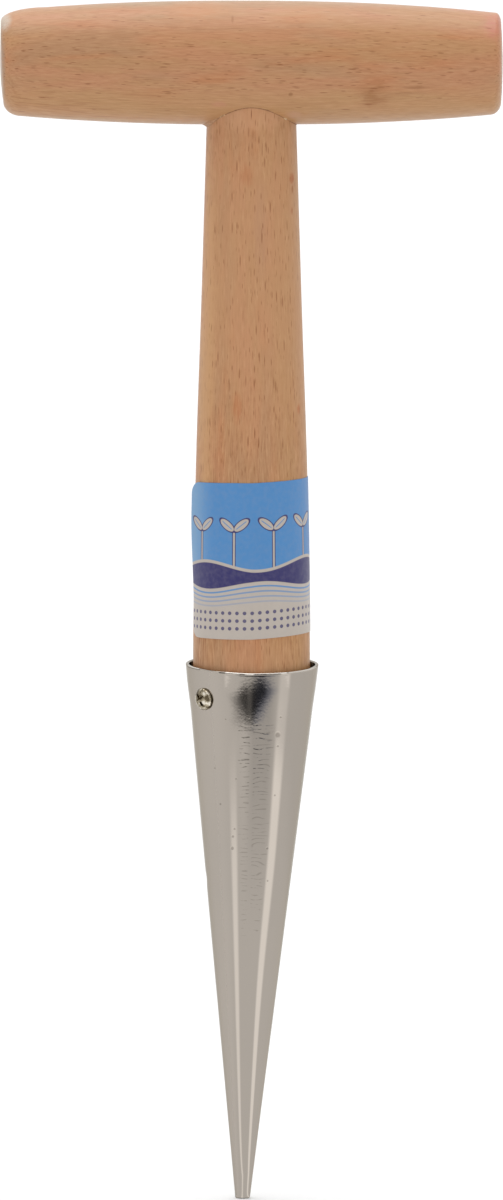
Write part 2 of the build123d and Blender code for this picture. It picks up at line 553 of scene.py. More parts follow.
def build_screw():
    dome, taper_start = SCREW_DOME - SCREW_EDGE, SCREW_TAPER - SCREW_LENGTH
    rings = [screw_ring(SCREW_HEAD * sin(part), SCREW_EDGE + dome * cos(part))
             for part in spread(0.12, pi / 2, 16)]
    rings += [screw_ring(SCREW_HEAD, h) for h in (0.2 * MM, SCREW_BEVEL)]
    rings += [screw_ring(SCREW_HEAD - SCREW_BEVEL, 0), screw_ring(SCREW_SHANK, 0)]
    rings += [screw_ring(SCREW_SHANK, h) for h in spread(-0.4 * MM, -SCREW_PLAIN, 4)]
    for height in spread(-SCREW_PLAIN, taper_start, 70)[1:]:
        rings.append(screw_ring(SCREW_SHANK, height, thread=THREAD_DEPTH))
    for part in spread(0, 1, 10)[1:-1]:
        radius, thread = SCREW_SHANK * (1 - part), THREAD_DEPTH * (1 - part)
        rings.append(screw_ring(radius, taper_start - SCREW_TAPER * part, thread=thread))
    return cut("screw", lathe(rings), cross_recess())


# Label


def label_top(bearing):
    """Upper edge: it rises to the right and droops towards the lifted left end."""
    droop = LABEL_DROOP * smooth(LABEL_DROOP_START, LABEL_START, bearing)
    return LABEL_TOP + LABEL_HEAD + LABEL_HEAD_RISE * max(sin(bearing), 0) - droop


def label_foot(bearing):
    """Lower edge: it rises to the right and runs almost level to the left."""
    rise = LABEL_FOOT_RISE * (1 if bearing > 0 else LABEL_FOOT_FALL)
    return LABEL_BOTTOM + LABEL_FOOT + rise * sin(bearing)


def label_lift(aside, z):
    """How far the left end has come off the shaft, most near the top."""
    curl = max(1 - aside / LABEL_LIFT_REACH, 0) ** 2
    up = (z - LABEL_BOTTOM) / (LABEL_TOP - LABEL_BOTTOM)
    return LABEL_LIFT * curl * (LABEL_LIFT_FOOT + (1 - LABEL_LIFT_FOOT) * smooth(0.2, 0.8, up))


def label_point(across, up, outside):
    """Point of the label: across and up run from 0 to 1."""
    radius = shaft_radius((LABEL_BOTTOM + LABEL_TOP) / 2)
    height = LABEL_TOP - LABEL_BOTTOM
    edge = min(up, 1 - up) * height
    inset = 0
    if edge < LABEL_CORNER:
        inset = LABEL_CORNER - sqrt(LABEL_CORNER**2 - (LABEL_CORNER - edge) ** 2)
    start, end = LABEL_START + inset / radius, LABEL_END - inset / radius
    bearing = start + (end - start) * across
    foot = label_foot(bearing)
    z = foot + (label_top(bearing) - foot) * up
    stand = LABEL_GAP + label_lift((bearing - LABEL_START) * radius, z)
    return round_shaft(bearing, shaft_radius(z) + stand + outside * LABEL_THICKNESS, z)


def build_label(columns=190, rows=52):
    """Both faces of the paper, joined round its edge."""
    mesh = bmesh.new()
    ease = [(1 - cos(pi * i / (rows - 1))) / 2 for i in range(rows)]
    sides = []
    for outside in (0, 1):
        sides.append([[mesh.verts.new(label_point(a, u, outside)) for a in spread(0, 1, columns)]
                      for u in ease])
    for side in sides:
        for row, above in zip(side, side[1:]):
            for i in range(columns - 1):
                mesh.faces.new((row[i], row[i + 1], above[i + 1], above[i]))
    inner, outer = ([*s[0], *[r[-1] for r in s[1:-1]], *s[-1][::-1], *[r[0] for r in s[-2:0:-1]]]
                    for s in sides)
    for i in range(len(inner)):
        mesh.faces.new((inner[i - 1], inner[i], outer[i], outer[i - 1]))
    bmesh.ops.recalc_face_normals(mesh, faces=mesh.faces)
    return mesh


def label_place(point):
    """Millimetres along the label from its left end and up from its lower edge."""
    bearing = atan2(point.x, -point.y)
    if bearing < LABEL_START - 0.1:
        bearing += tau
    radius = shaft_radius((LABEL_BOTTOM + LABEL_TOP) / 2)
    up = point.z - label_foot(bearing) + LABEL_FOOT
    return Vector(((bearing - LABEL_START) * radius / MM, up / MM, 0))


# Materials


class Paint:
    """Node tree of a material or the world, with short calls for its nodes."""

    def __init__(self, name, colour=None, owners=bpy.data.materials):
        self.colour = colour
        self.owner = owners.new(name)
        self.owner.use_nodes = True
        self.tree = self.owner.node_tree
        self.shader = self.tree.nodes.get("Principled BSDF") or self.tree.nodes["Background"]

    def feed(self, socket, value):
        if isinstance(value, bpy.types.NodeSocket):
            self.tree.links.new(value, socket)
        else:
            socket.default_value = value

    def node(self, kind, inputs, **settings):
        """Adds a node and gives its outputs."""
        node = self.tree.nodes.new("ShaderNode" + kind)
        for key, value in settings.items():
            setattr(node, key, value)
        for key, value in inputs.items():
            self.feed(node.inputs[key], value)
        return node.outputs

    def finish(self, **sockets):
        """Sets the shader's sockets, named with _ for spaces, and its colour."""
        if self.colour:
            sockets["Base_Color"] = self.colour
        for key, value in sockets.items():
            self.feed(self.shader.inputs[key.replace("_", " ")], value)
        return self.owner

    def place(self):
        return self.node("TexCoord", {})["Object"]

    def attribute(self, name):
        return self.node("Attribute", {}, attribute_name=name)["Vector"]

    def map(self, vector, scale=(1, 1, 1), turn=(0, 0, 0), shift=(0, 0, 0)):
        inputs = {"Vector": vector, "Scale": scale, "Rotation": turn, "Location": shift}
        return self.node("Mapping", inputs)[0]

    def noise(self, vector, scale, detail=2.0, roughness=0.5, shift=(0, 0, 0)):
        vector = self.map(vector, scale, shift=shift)
        inputs = {"Vector": vector, "Scale": 1.0, "Detail": detail, "Roughness": roughness}
        return self.node("TexNoise", inputs)[0]

    def cells(self, vector):
        """Distance to the nearest seed and two random numbers for it."""
        cell = self.node("TexVoronoi", {"Vector": vector, "Scale": 1.0})
        colour = self.node("SeparateColor", {0: cell["Color"]})
        return cell["Distance"], colour[0], colour[1]

    def math(self, operation, a, b=0.0):
        return self.node("Math", {0: a, 1: b}, operation=operation)[0]

    def plus(self, a, b):
        return self.math("ADD", a, b)

    def minus(self, a, b):
        return self.math("SUBTRACT", a, b)

    def times(self, a, b):
        return self.math("MULTIPLY", a, b)

    def over(self, a, b):
        return self.math("DIVIDE", a, b)

    def away(self, a, b):
        """How far apart two values are."""
        return self.math("ABSOLUTE", self.minus(a, b))

    def length(self, a, b):
        return self.math("SQRT", self.plus(self.times(a, a), self.times(b, b)))

    def ease(self, value, low, high, start=0.0, end=1.0):
        """Smooth step from start at low to end at high. Low can be the greater one."""
        inputs = {"Value": value, "From Min": low, "From Max": high, "To Min": start, "To Max": end}
        return self.node("MapRange", inputs, interpolation_type="SMOOTHSTEP")[0]

    def split(self, vector):
        return self.node("SeparateXYZ", {0: vector})

    def mix(self, factor, a, b):
        return self.node("Mix", {0: factor, 6: a, 7: b}, data_type="RGBA")[2]

    def coat(self, share, tone):
        """Lays a colour over the one that is there."""
        self.colour = self.mix(share, self.colour, tone)

    def distance(self, vector, centre):
        inputs = {0: vector, 1: centre}
        return self.node("VectorMath", inputs, operation="DISTANCE")["Value"]

    def bump(self, height, distance, strength=1.0):
        inputs = {"Height": height, "Distance": distance, "Strength": strength}
        return self.node("Bump", inputs)[0]


def rgb(*values):
    """Linear colour from the sRGB values of a picture."""
    shares = [value / 255 for value in values]
    return (*[s / 12.92 if s <= 0.04045 else ((s + 0.055) / 1.055) ** 2.4 for s in shares], 1)


BEECH_TAN = rgb(178, 132, 91)
BEECH_PINK = rgb(182, 129, 92)
BEECH_ORANGE = rgb(181, 118, 76)
BEECH_GREY = rgb(168, 128, 93)
BEECH_LINE = rgb(148, 98, 60)
BEECH_PALE = rgb(197, 154, 114)
BEECH_FLECK = rgb(118, 62, 22)
BEECH_OCHRE = rgb(174, 133, 88)
# Growth rings: the middle of the tree, across the grain, and the width of a year
PITH = (0, 42 * MM, HANDLE_Z - 36 * MM)
YEAR_RING = 2.3 * MM
NICKEL = rgb(168, 160, 151)
NICKEL_DULL = rgb(160, 153, 145)
# Dark tone of pits in the plating, and of painted shade in the ripple lines and along the seam
NICKEL_PITS_AND_PAINTED_SHADE = rgb(96, 88, 80)
# Painted highlight: a near-white steel tone for bright stretches of the rim's edge
NICKEL_PAINTED_HIGHLIGHT = rgb(244, 240, 233)
# Painted shadow: a near-black tone on stretches of the rim, for the gap between rim and wood
NICKEL_PAINTED_SHADOW = rgb(40, 31, 24)
NICKEL_TINT = rgb(146, 132, 114)
NICKEL_SHEEN = rgb(216, 213, 207)
# Screw tones: dirt with painted dark reflection, the plating's grey, and painted glints
SCREW_DIRT_AND_PAINTED_REFLECTION, SCREW_GREY, SCREW_PAINTED_GLINT = rgb(90, 80, 62), rgb(156, 146, 126), rgb(216, 209, 195)
# Dried glue: its darker and paler tone
GLUE_TONES = {
    "glue_film": (rgb(138, 94, 58), rgb(158, 114, 74)),
    "glue_fillet": (rgb(152, 108, 70), rgb(176, 132, 92)),
    "glue_crumb": (rgb(146, 106, 68), rgb(200, 168, 126)),
}


def beech(name, turn, flecks, shares, spots, streaks, lacquer):
    """Sanded beech, its grain along the X of the turned coordinates."""
    p = Paint(name, BEECH_TAN)
    place = p.place()
    fleck_share, ray_share, ochre_share, end_share = shares(p, place)
    grain = p.map(place, turn=turn)
    greyer = p.noise(grain, (26, 130, 130), 2, shift=(3, 1, 7))
    redder = p.noise(grain, (34, 190, 190), 2, shift=(8, 2, 1))
    p.coat(p.ease(p.noise(grain, (40, 210, 210), 3, 0.55), 0.36, 0.64), BEECH_PINK)
    p.coat(p.ease(greyer, 0.48, 0.68, 0, 0.7), BEECH_GREY)
    p.coat(p.ease(redder, 0.54, 0.72, 0, 0.6), BEECH_ORANGE)
    p.coat(ochre_share, BEECH_OCHRE)
    fibre = p.noise(grain, (260, 2800, 2800), 3, 0.6)
    p.coat(p.ease(fibre, 0.45, 0.72, 0, streaks), BEECH_LINE)
    p.coat(p.ease(fibre, 0.5, 0.28, 0, streaks), BEECH_PALE)
    ray = p.noise(grain, (70, 1500, 1500), 2, shift=(4, 4, 4))
    ray = p.times(p.ease(ray, 0.55, 0.66), ray_share)
    p.coat(p.times(ray, 0.4), BEECH_LINE)
    soak_stains_and_painted_light(p, place, fibre, spots)
    show_rings(p, grain, greyer, end_share)
    height = scatter_flecks(p, grain, fibre, fleck_share, flecks)
    return p.finish(
        Roughness=p.ease(fibre, 0.3, 0.7, 0.38, 0.5),
        Specular_IOR_Level=0.15,
        Coat_Weight=lacquer,
        Coat_Roughness=0.3,
        Normal=p.bump(height, 0.03 * MM, 0.6),
    )


def soak_stains_and_painted_light(p, place, fibre, spots):
    """Stains and patches of painted light, with ragged edges, which soak in more along the fibres."""
    ragged = p.noise(place, (420, 420, 420), 4, 0.6)
    thirst = p.ease(fibre, 0.35, 0.6, 0.6, 1)
    for centre, radii, tone, strength in spots:
        scale = [1 / (r * MM) for r in radii]
        middle = [c * MM * k for c, k in zip(centre, scale)]
        far = p.plus(p.distance(p.map(place, scale), middle), p.times(ragged, 0.9))
        p.coat(p.times(p.ease(far, 0.75, 1.5, strength, 0), thirst), rgb(*tone))


def show_rings(p, grain, waver, share):
    """Growth rings, where the wood is sawn across."""
    from_pith = p.distance(p.map(grain, (0, 1, 1)), PITH)
    year = p.plus(p.over(from_pith, YEAR_RING), p.times(waver, 1.5))
    ring = p.ease(p.math("FRACT", year), 0.3, 0.95, 0.1, 0.45)
    p.coat(p.times(share, ring), BEECH_LINE)


def scatter_flecks(p, grain, fibre, share, flecks):
    """Paints short dark flecks, and gives the relief that they and the fibres leave."""
    height = fibre
    for (length, width, chosen, strength), offset in zip(flecks, FLECK_OFFSETS):
        scale = (1 / (length * MM), 1 / (width * MM), 1 / (width * MM))
        reach, chance, weight = p.cells(p.map(grain, scale, shift=offset))
        picked = p.math("LESS_THAN", chance, p.times(share, chosen))
        fleck = p.times(p.times(p.ease(reach, 0.26, 0.1), picked), p.ease(weight, 0, 1, 0.3, 1))
        p.coat(p.times(fleck, strength), BEECH_FLECK)
        height = p.minus(height, p.times(fleck, 0.4))
    return height


# Flecks: length and width in millimetres, the share that shows, and strength. Each size has an offset.
HANDLE_FLECKS = ((5.4, 0.74, 0.62, 0.62), (4.2, 0.66, 0.7, 0.56), (3.0, 0.55, 0.6, 0.46))
SHAFT_FLECKS = ((7.0, 0.9, 0.8, 0.5), (5.0, 0.8, 0.85, 0.46), (3.4, 0.66, 0.85, 0.4))
FLECK_OFFSETS = ((0, 0, 0), (9, 4, 2), (2, 8, 5))
# Stains, and patches of painted light marked as such: centre and reach in millimetres, colour and
# strength
HANDLE_STAINS_AND_PAINTED_LIGHT = (
    ((57.2, -7.5, 274.8), (4.4, 9, 4.4), (192, 117, 103), 0.6),
    # Painted highlight: a whitish patch and a greyer strip at the left end's front edge
    ((-57.9, -6, 276), (2.7, 9, 3.7), (198, 191, 178), 0.75),
    ((-58.4, -8, 265.3), (1.6, 30, 13), (148, 133, 115), 0.65),
    # Painted sheen: a greyer strip along the top of the handle
    ((0, -3, 280), (75, 9, 2.2), (152, 142, 108), 0.33),
    ((-12.5, -6, 279), (10, 9, 5), (190, 128, 84), 0.5),
    ((14, -8, 277), (13, 9, 3), (190, 132, 88), 0.35),
    ((28.4, -13, 258.6), (4.8, 9, 4.4), (150, 98, 58), 0.5),
    ((27.6, -13, 257.6), (3.0, 9, 2.5), (140, 88, 44), 0.3),
    ((38, -13, 260.6), (5.5, 9, 0.5), (140, 92, 54), 0.5),
    ((36, -13, 259.2), (4.0, 9, 0.4), (140, 92, 54), 0.45),
    ((-4.4, -9.7, 276.2), (0.4, 4, 1.2), (150, 100, 60), 0.6),
    ((9.6, -8.6, 253.9), (2.4, 6, 1.3), (188, 148, 124), 0.5),
    ((9.1, -13, 259.0), (0.7, 4, 0.6), (122, 72, 32), 0.6),
    ((36, -10, 253.6), (0.45, 4, 0.4), (96, 62, 40), 0.9),
    ((-7.6, -12, 256.6), (2.4, 9, 1.0), (184, 126, 98), 0.5),
)
SHAFT_STAINS_AND_PAINTED_LIGHT = (
    ((2, -6, 215), (30, 20, 62), (194, 148, 110), 0.5),
    ((-10.5, -6, 200), (3.2, 6, 80), (198, 154, 108), 0.6),
    ((9.4, -6.2, 239), (0.75, 4, 1.6), (160, 80, 28), 0.85),
    ((9.5, -6.4, 236.3), (0.4, 4, 1.3), (144, 80, 36), 0.7),
    ((9.4, -6.6, 231.4), (0.34, 4, 1.2), (158, 86, 48), 0.6),
    ((-1.2, -12, 240), (2.2, 9, 3.2), (180, 120, 82), 0.6),
    ((2.2, -12, 226), (2.2, 9, 15), (180, 134, 102), 0.6),
    ((-3.4, -13, 186), (1.6, 9, 4.4), (178, 108, 66), 0.5),
    ((11.1, -8, 185.2), (0.6, 4, 1.8), (174, 102, 60), 0.8),
    ((0, -13, 126), (18, 9, 8), (196, 152, 118), 0.25),
    # Painted light: a paler patch on the shaft just under the joint, against the shade there
    ((0, -11, 253), (10, 9, 4), (202, 154, 118), 0.35),
    ((0, -10.5, 254.2), (0.14, 3, 1.5), (132, 84, 54), 0.9),
    ((0.9, -10.6, 252.2), (0.12, 3, 1.0), (142, 92, 60), 0.7),
)


def handle_beech():
    def shares(p, place):
        """Flecks are thickest round the middle, growth lines and yellower wood are lower down."""
        x, _, z = p.split(place)
        below = p.ease(z, HANDLE_Z - 8.5 * MM, HANDLE_Z - 4 * MM, 0.12, 1)
        above = p.ease(z, HANDLE_Z + 2 * MM, HANDLE_Z + 9 * MM, 1, 0.35)
        low = p.ease(z, HANDLE_Z - 3 * MM, HANDLE_Z - 8 * MM)
        rays = p.times(low, p.ease(x, -10 * MM, -35 * MM, 0.3, 1))
        sawn = p.ease(p.math("ABSOLUTE", x), HANDLE_HALF - 0.5 * MM, HANDLE_HALF - 0.25 * MM)
        return p.times(below, above), rays, p.times(low, 0.6), sawn

    turn = (0, radians(-1.2), 0)
    return beech("beech_handle", turn, HANDLE_FLECKS, shares, HANDLE_STAINS_AND_PAINTED_LIGHT, 0.3, 0.3)


def shaft_beech():
    def shares(p, place):
        """Flecks come in clouds, growth lines are on the left and yellower wood is on the right."""
        x = p.split(place)[0]
        clouds = p.noise(place, (180, 180, 40), 2, shift=(3, 0, 0))
        flecks = p.ease(clouds, 0.3, 0.6, 0.6, 1)
        rays = p.ease(x, -5 * MM, -10 * MM, 0.25, 1)
        return flecks, rays, p.ease(x, 3 * MM, 9 * MM, 0, 0.6), 0.0

    return beech("beech_shaft", (0, radians(90), 0), SHAFT_FLECKS, shares, SHAFT_STAINS_AND_PAINTED_LIGHT, 0.55, 0.05)


# Painted highlights on the rim, and painted shadow of the gap between rim and wood: millimetres round
# from the front to the middle, half length and strength. Each kind lies between two distances below the
# edge.
RIM_PAINTED_HIGHLIGHTS = ((-17.4, 3.0, 0.6), (-4.8, 1.6, 1.0), (-0.9, 2.2, 0.9), (4.2, 4.2, 0.95), (14.5, 5.5, 0.4))
RIM_PAINTED_SHADOWS = (
    (-17.3, 3.2, 0.55), (-7.3, 0.75, 0.95), (-4.8, 1.5, 0.4),
    (-2.4, 0.6, 0.9), (1.9, 1.5, 0.95), (5.2, 1.7, 0.7),
)
RIM_PAINTED_LIGHT = ((RIM_PAINTED_HIGHLIGHTS, NICKEL_PAINTED_HIGHLIGHT, -0.1, 0.2), (RIM_PAINTED_SHADOWS, NICKEL_PAINTED_SHADOW, 0.2, 0.36))
# Pits in the plating: millimetres round from the front and up from the tip, and radius
PITS = (
    (7.1, 114.0, 0.42), (6.4, 109.9, 0.9), (6.5, 107.2, 0.38), (6.0, 95.6, 0.3), (4.3, 83.1, 0.36),
    (4.6, 75.4, 0.3), (-4.0, 83.0, 0.5), (-3.9, 85.8, 0.38), (-3.5, 87.6, 0.32), (-7.3, 93.2, 0.36),
    (-9.0, 101.6, 0.28), (-3.3, 99.4, 0.3), (-6.2, 113.3, 0.26),
)


def ripple_lines(p, on_cone):
    """Fine lines across the front of the point, in two columns, for their relief and their painted dark
    reflection.
    """
    across, up, share = p.split(on_cone)
    second = p.ease(across, -0.1, 0.4)
    sway = p.noise(on_cone, (0.14, 0.32, 0), 1)
    phase = p.times(sway, p.plus(2.4, second))
    turns = p.plus(p.times(up, MM / RIPPLE_PITCH), phase)
    line = p.ease(p.away(p.math("FRACT", turns), 0.5), 0.18, 0)
    chance = p.noise(on_cone, (0.5, 0.9, 0), 2, shift=(4, 4, 0))
    chance = p.plus(chance, p.times(share, 0.2))
    line = p.times(line, p.ease(chance, 0.57, 0.74))
    gap = p.ease(p.away(across, 0.15), 0.25, 0.6)
    return p.times(p.times(line, gap), p.ease(share, 0, 0.25))


def pit_share(p, on_cone):
    """1 in the pits of the plating and 0 round them."""
    flat = p.map(on_cone, (1, 1, 0))
    share = 0.0
    for across, up, radius in PITS:
        pit = p.ease(p.distance(flat, (across, up, 0)), radius, 0.4 * radius)
        share = p.math("MAXIMUM", share, pit)
    return share


def paint_rim_light_and_shade(p, arc, from_edge):
    """Painted highlights and painted shadow of the gap between rim and wood, along the rim."""
    for spans, tone, top, foot in RIM_PAINTED_LIGHT:
        band = p.times(p.ease(from_edge, top - 0.06, top), p.ease(from_edge, foot + 0.1, foot))
        for middle, half, strength in spans:
            along = p.ease(p.away(arc, middle), half - 0.2, half + 0.3, strength, 0)
            p.coat(p.times(along, band), tone)


def nickel_plate():
    p = Paint("nickel_plate", NICKEL)
    place = p.place()
    on_cone = p.attribute("cone_place")
    arc, from_edge, from_seam = p.split(p.attribute("rim_place"))
    dull = p.noise(place, (60, 60, 25), 3)
    line = ripple_lines(p, on_cone)
    pits = pit_share(p, on_cone)
    p.coat(p.ease(dull, 0.35, 0.7, 0, 0.35), NICKEL_DULL)
    # Painted reflection: the ripple lines are darkened for the darker surroundings that their slopes
    # mirror
    p.coat(p.times(line, 0.32), NICKEL_PITS_AND_PAINTED_SHADE)
    p.coat(p.times(pits, 0.45), NICKEL_PITS_AND_PAINTED_SHADE)
    p.coat(p.times(p.ease(from_seam, 0.3, 2.6, 0.7, 0), p.ease(dull, 0.35, 0.65)), NICKEL_TINT)
    # Dark line along the seam: painted shade in its groove, and the seam's own discolouring
    p.coat(p.ease(from_seam, 0.05, 0.24, 0.75, 0), NICKEL_PITS_AND_PAINTED_SHADE)
    # Painted highlights and painted gap shadows along the rim
    paint_rim_light_and_shade(p, arc, from_edge)
    mottle = p.noise(place, (1800, 1800, 1800), 2, 0.6)
    relief = p.minus(p.minus(p.times(mottle, 0.5), line), p.times(pits, 3.0))
    return p.finish(
        Metallic=1.0,
        Roughness=p.ease(dull, 0.3, 0.7, 0.028, 0.045),
        Specular_Tint=NICKEL_SHEEN,
        Normal=p.bump(relief, 0.003 * MM),
    )


def screw_plate():
    p = Paint("screw_plate", SCREW_DIRT_AND_PAINTED_REFLECTION)
    # Random patches of wear: the darkest with dirt and painted dark reflection, the brightest with
    # painted glints
    wear_and_glints = p.noise(p.place(), (900, 900, 900), 3)
    p.coat(p.ease(wear_and_glints, 0.43, 0.51), SCREW_GREY)
    p.coat(p.ease(wear_and_glints, 0.56, 0.66), SCREW_PAINTED_GLINT)
    rough = p.ease(wear_and_glints, 0.3, 0.7, 0.1, 0.24)
    return p.finish(Metallic=1.0, Roughness=rough, Normal=p.bump(wear_and_glints, 0.04 * MM))


def dried_glue(name):
    """Dried glue with sawdust in it."""
    dark, pale = GLUE_TONES[name]
    p = Paint(name, dark)
    speck = p.noise(p.place(), (2200, 2200, 2200), 3, 0.6)
    p.coat(p.ease(speck, 0.4, 0.66), pale)
    return p.finish(Roughness=0.55, Normal=p.bump(speck, 0.03 * MM))


PRINT_BLUE = rgb(64, 127, 184)
# Lighter blue of the left end: the print's own fade, with painted sheen of the lifted end
PRINT_LIGHT_INK_AND_SHEEN = rgb(116, 156, 190)
# Darker blue of the right end: painted shade
PRINT_PAINTED_SHADE = rgb(44, 98, 158)
PRINT_NAVY = rgb(26, 18, 90)
PRINT_PALE = rgb(178, 168, 158)
PAPER_GRAIN = rgb(150, 145, 150)
# Sizes of the print in millimetres: sprouts, hills as level, height and ink, furrows as level, height and
# strength, and rows of seeds
SPROUT_PERIOD = 9.4
SPROUT_FORK = 26.0
LEAF_ASIDE, LEAF_RISE, LEAF_LEAN = 1.75, 1.5, radians(38)
LEAF_LENGTH, LEAF_WIDTH = 2.15, 0.95
HILL_PERIOD = 27.0
HILLS = ((18.2, 1.1, PRINT_PALE), (17.5, 1.1, PRINT_NAVY), (13.4, -0.9, PRINT_PALE))
FURROWS = ((12.4, -0.85, 0.9), (11.3, -0.75, 0.7), (10.2, -0.65, 0.5), (9.1, -0.55, 0.3))
SEED_PERIOD = 1.75
SEED_ROWS = (3.4, 5.2, 7.0)


def label_paper():
    """Gloss paper with a generic print: sprouts under a blue sky, hills, furrows and rows of seeds."""
    p = Paint("label_paper", PRINT_BLUE)
    across, up, _ = p.split(p.attribute("print_place"))
    # The left end is lighter by the print's fade and painted sheen, and the right end darker by painted
    # shade
    p.coat(p.ease(across, 0, 9, 0.8, 0), PRINT_LIGHT_INK_AND_SHEEN)
    p.coat(p.ease(across, 30, 42, 0, 0.65), PRINT_PAINTED_SHADE)
    print_sprouts(p, across, up)
    print_hills(p, across, up)
    print_seeds(p, across, up)
    grain = p.noise(p.place(), (900, 900, 900), 2)
    p.coat(p.ease(grain, 0.3, 0.8, 0, 0.1), PAPER_GRAIN)
    return p.finish(Roughness=0.42, Normal=p.bump(grain, 0.02 * MM))


def repeat(p, across, period):
    """Distance from the middle of a motif that repeats along the label."""
    share = p.math("FRACT", p.over(across, period))
    return p.times(p.minus(share, 0.5), period)


def print_sprouts(p, across, up):
    """Seedlings with two leaves each, outlined in navy."""
    aside = p.math("ABSOLUTE", repeat(p, across, SPROUT_PERIOD))
    below = p.ease(up, SPROUT_FORK + 0.1, SPROUT_FORK - 0.1)
    for half, ink in ((0.42, PRINT_NAVY), (0.22, PRINT_PALE)):
        p.coat(p.times(p.ease(aside, half + 0.08, half - 0.08), below), ink)
    x = p.minus(aside, LEAF_ASIDE)
    y = p.minus(up, SPROUT_FORK + LEAF_RISE)
    lean_cos, lean_sin = cos(LEAF_LEAN), sin(LEAF_LEAN)
    lengthwise = p.plus(p.times(x, lean_cos), p.times(y, lean_sin))
    crosswise = p.minus(p.times(y, lean_cos), p.times(x, lean_sin))
    far = p.length(p.over(lengthwise, LEAF_LENGTH), p.over(crosswise, LEAF_WIDTH))
    p.coat(p.ease(far, 1.22, 1.12), PRINT_NAVY)
    p.coat(p.ease(far, 1.0, 0.9), PRINT_PALE)
    rib = p.ease(p.math("ABSOLUTE", crosswise), 0.14, 0.06)
    p.coat(p.times(rib, p.ease(far, 0.8, 0.6)), PRINT_BLUE)


def print_hills(p, across, up):
    """Two hills one behind the other, and furrows on the nearer one."""
    swell = p.math("SINE", p.times(across, tau / HILL_PERIOD))
    for level, height, ink in HILLS:
        crest = p.plus(p.times(swell, height), level)
        p.coat(p.ease(p.minus(crest, up), -0.1, 0.1), ink)
    for level, height, strength in FURROWS:
        crest = p.plus(p.times(swell, height), level)
        p.coat(p.ease(p.away(crest, up), 0.12, 0.26, strength, 0), PRINT_BLUE)


def print_seeds(p, across, up):
    """Rows of seeds sown along the foot."""
    along = repeat(p, across, SEED_PERIOD)
    for level in SEED_ROWS:
        far = p.length(along, p.minus(up, level))
        p.coat(p.ease(far, 0.36, 0.5, 0.85, 0), PRINT_NAVY)


# Pieces in the scene


def dress():
    add_piece("turned_handle", build_handle(), handle_beech(), "cross_handle")
    add_piece("turned_shaft", build_shaft(), shaft_beech(), "shaft")
    point = add_piece("rolled_point", build_point(), nickel_plate(), "steel_cone")
    mark_points(point, "cone_place", cone_place)
    mark_points(point, "rim_place", rim_place)
    add_piece("round_head_screw", build_screw(), screw_plate(), "cone_screw")
    paper = add_piece("printed_label", build_label(), label_paper(), "label")
    mark_points(paper, "print_place", label_place)
    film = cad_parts["tenon_glue"]
    film.data.materials.clear()
    film.data.materials.append(dried_glue("glue_film"))
    fillet, crumb = dried_glue("glue_fillet"), dried_glue("glue_crumb")
    for name, bead in GLUE_BEADS.items():
        glue = fillet if name == "glue_fillet" else crumb
        add_piece(name, build_glue_bead(*bead), glue)


# Studio

WHITE = (1, 1, 1, 1)
FLOOR_SIZE = 60.0
FLOOR_COLOUR = (0.74, 0.74, 0.74, 1)
FLOOR_GLOW = 0.06
WORLD_LEVEL = 0.92
# Lights: strength and the direction in which each shines
LIGHTS = {"top_light": (1.4, (0.08, -0.14, -1)), "back_light": (0.25, (0.05, -0.93, -1))}
LIGHT_SOFTNESS = radians(50)

# Card that the steel reflects, on the floor in front. Each strip has its middle bearing in degrees near
# the tip and far from it, a sideways offset in metres, its half width where it is full and where it has
# faded, and two distances from the tip with the strength at each. Shades are strips that darken.
CARD_Z = cad_box[0].z + 0.2 * MM
CARD_REACH = 0.7
CARD_COLOUR = (0, 0, 0, 1)
STRIPS = (
    (-40, -40, 0.0114, 3, 12, 0.395, 0.25, 0, 0.52),
    (46.5, 59.5, 0.0058, 6, 15, 0.32, 0.39, 0.6, 0.2),
    (-38, -38, 0, 6, 14, 0.437, 0.4435, 0, 0.42),
    (61, 61, 0, 5, 12, 0.42, 0.4245, 0, 0.3),
)
SHADES = (
    (20, 20, 0, 12, 36, 0.19, 0.36, 0, 0.24),
    (108, 108, 0, 30, 50, 0.3, 0.42, 0, 0.055),
)
CARD_MIDDLE, CARD_SPAN = 35, 115
CARD_LEVEL, CARD_EDGE_LEVEL = 1.045, 1.12
# Distances between which a strip drifts to its other bearing, and the least that divides its offset
DRIFT_NEAR, DRIFT_FAR = 0.12, 0.29
STRAIGHT_REACH = 0.018
# Dark lens of the card: its bearing and distance, its half sizes, its bow away from a bearing, its climb
# to the right, and the dip and split between its two lobes
LENS_BEARING, LENS_REACH = 2, 0.3830
LENS_WIDTH, LENS_DEPTH = 31.5, 0.0168
LENS_BOW, LENS_BOW_MIDDLE, LENS_CLIMB = 0.0000113, 18, 0.00018
LENS_DIP, LENS_DIP_MIDDLE, LENS_SPLIT = 0.0036, -1, -3.5
LENS_BLUE = (0.8, 0.92, 1.3, 1)


def seen_directly(p):
    """1 for rays that show the surroundings: from the camera, in gloss or through glass."""
    path = p.node("LightPath", {})
    seen = p.math("MAXIMUM", path["Is Camera Ray"], path["Is Glossy Ray"])
    return p.math("MAXIMUM", seen, path["Is Transmission Ray"])


def light_world():
    p = Paint("studio", owners=bpy.data.worlds)
    level = p.ease(seen_directly(p), 0, 1, WORLD_LEVEL, 1)
    bpy.context.scene.world = p.finish(Color=WHITE, Strength=level)


def flat_piece(name, outline, z, material):
    """Flat stage piece lying at a height."""
    mesh = bmesh.new()
    mesh.faces.new([mesh.verts.new((x, y, z)) for x, y in outline])
    piece = as_object(name, mesh)
    piece.data.materials.append(material)
    return piece


def lay_floor():
    p = Paint("pale_floor", FLOOR_COLOUR)
    glow = p.times(seen_directly(p), FLOOR_GLOW)
    paint = p.finish(Roughness=1.0, Specular_IOR_Level=0.0, Emission_Color=WHITE, Emission_Strength=glow)
    half = FLOOR_SIZE / 2
    corners = [(-half, -half), (half, -half), (half, half), (-half, half)]
    flat_piece("floor", corners, cad_box[0].z, paint)


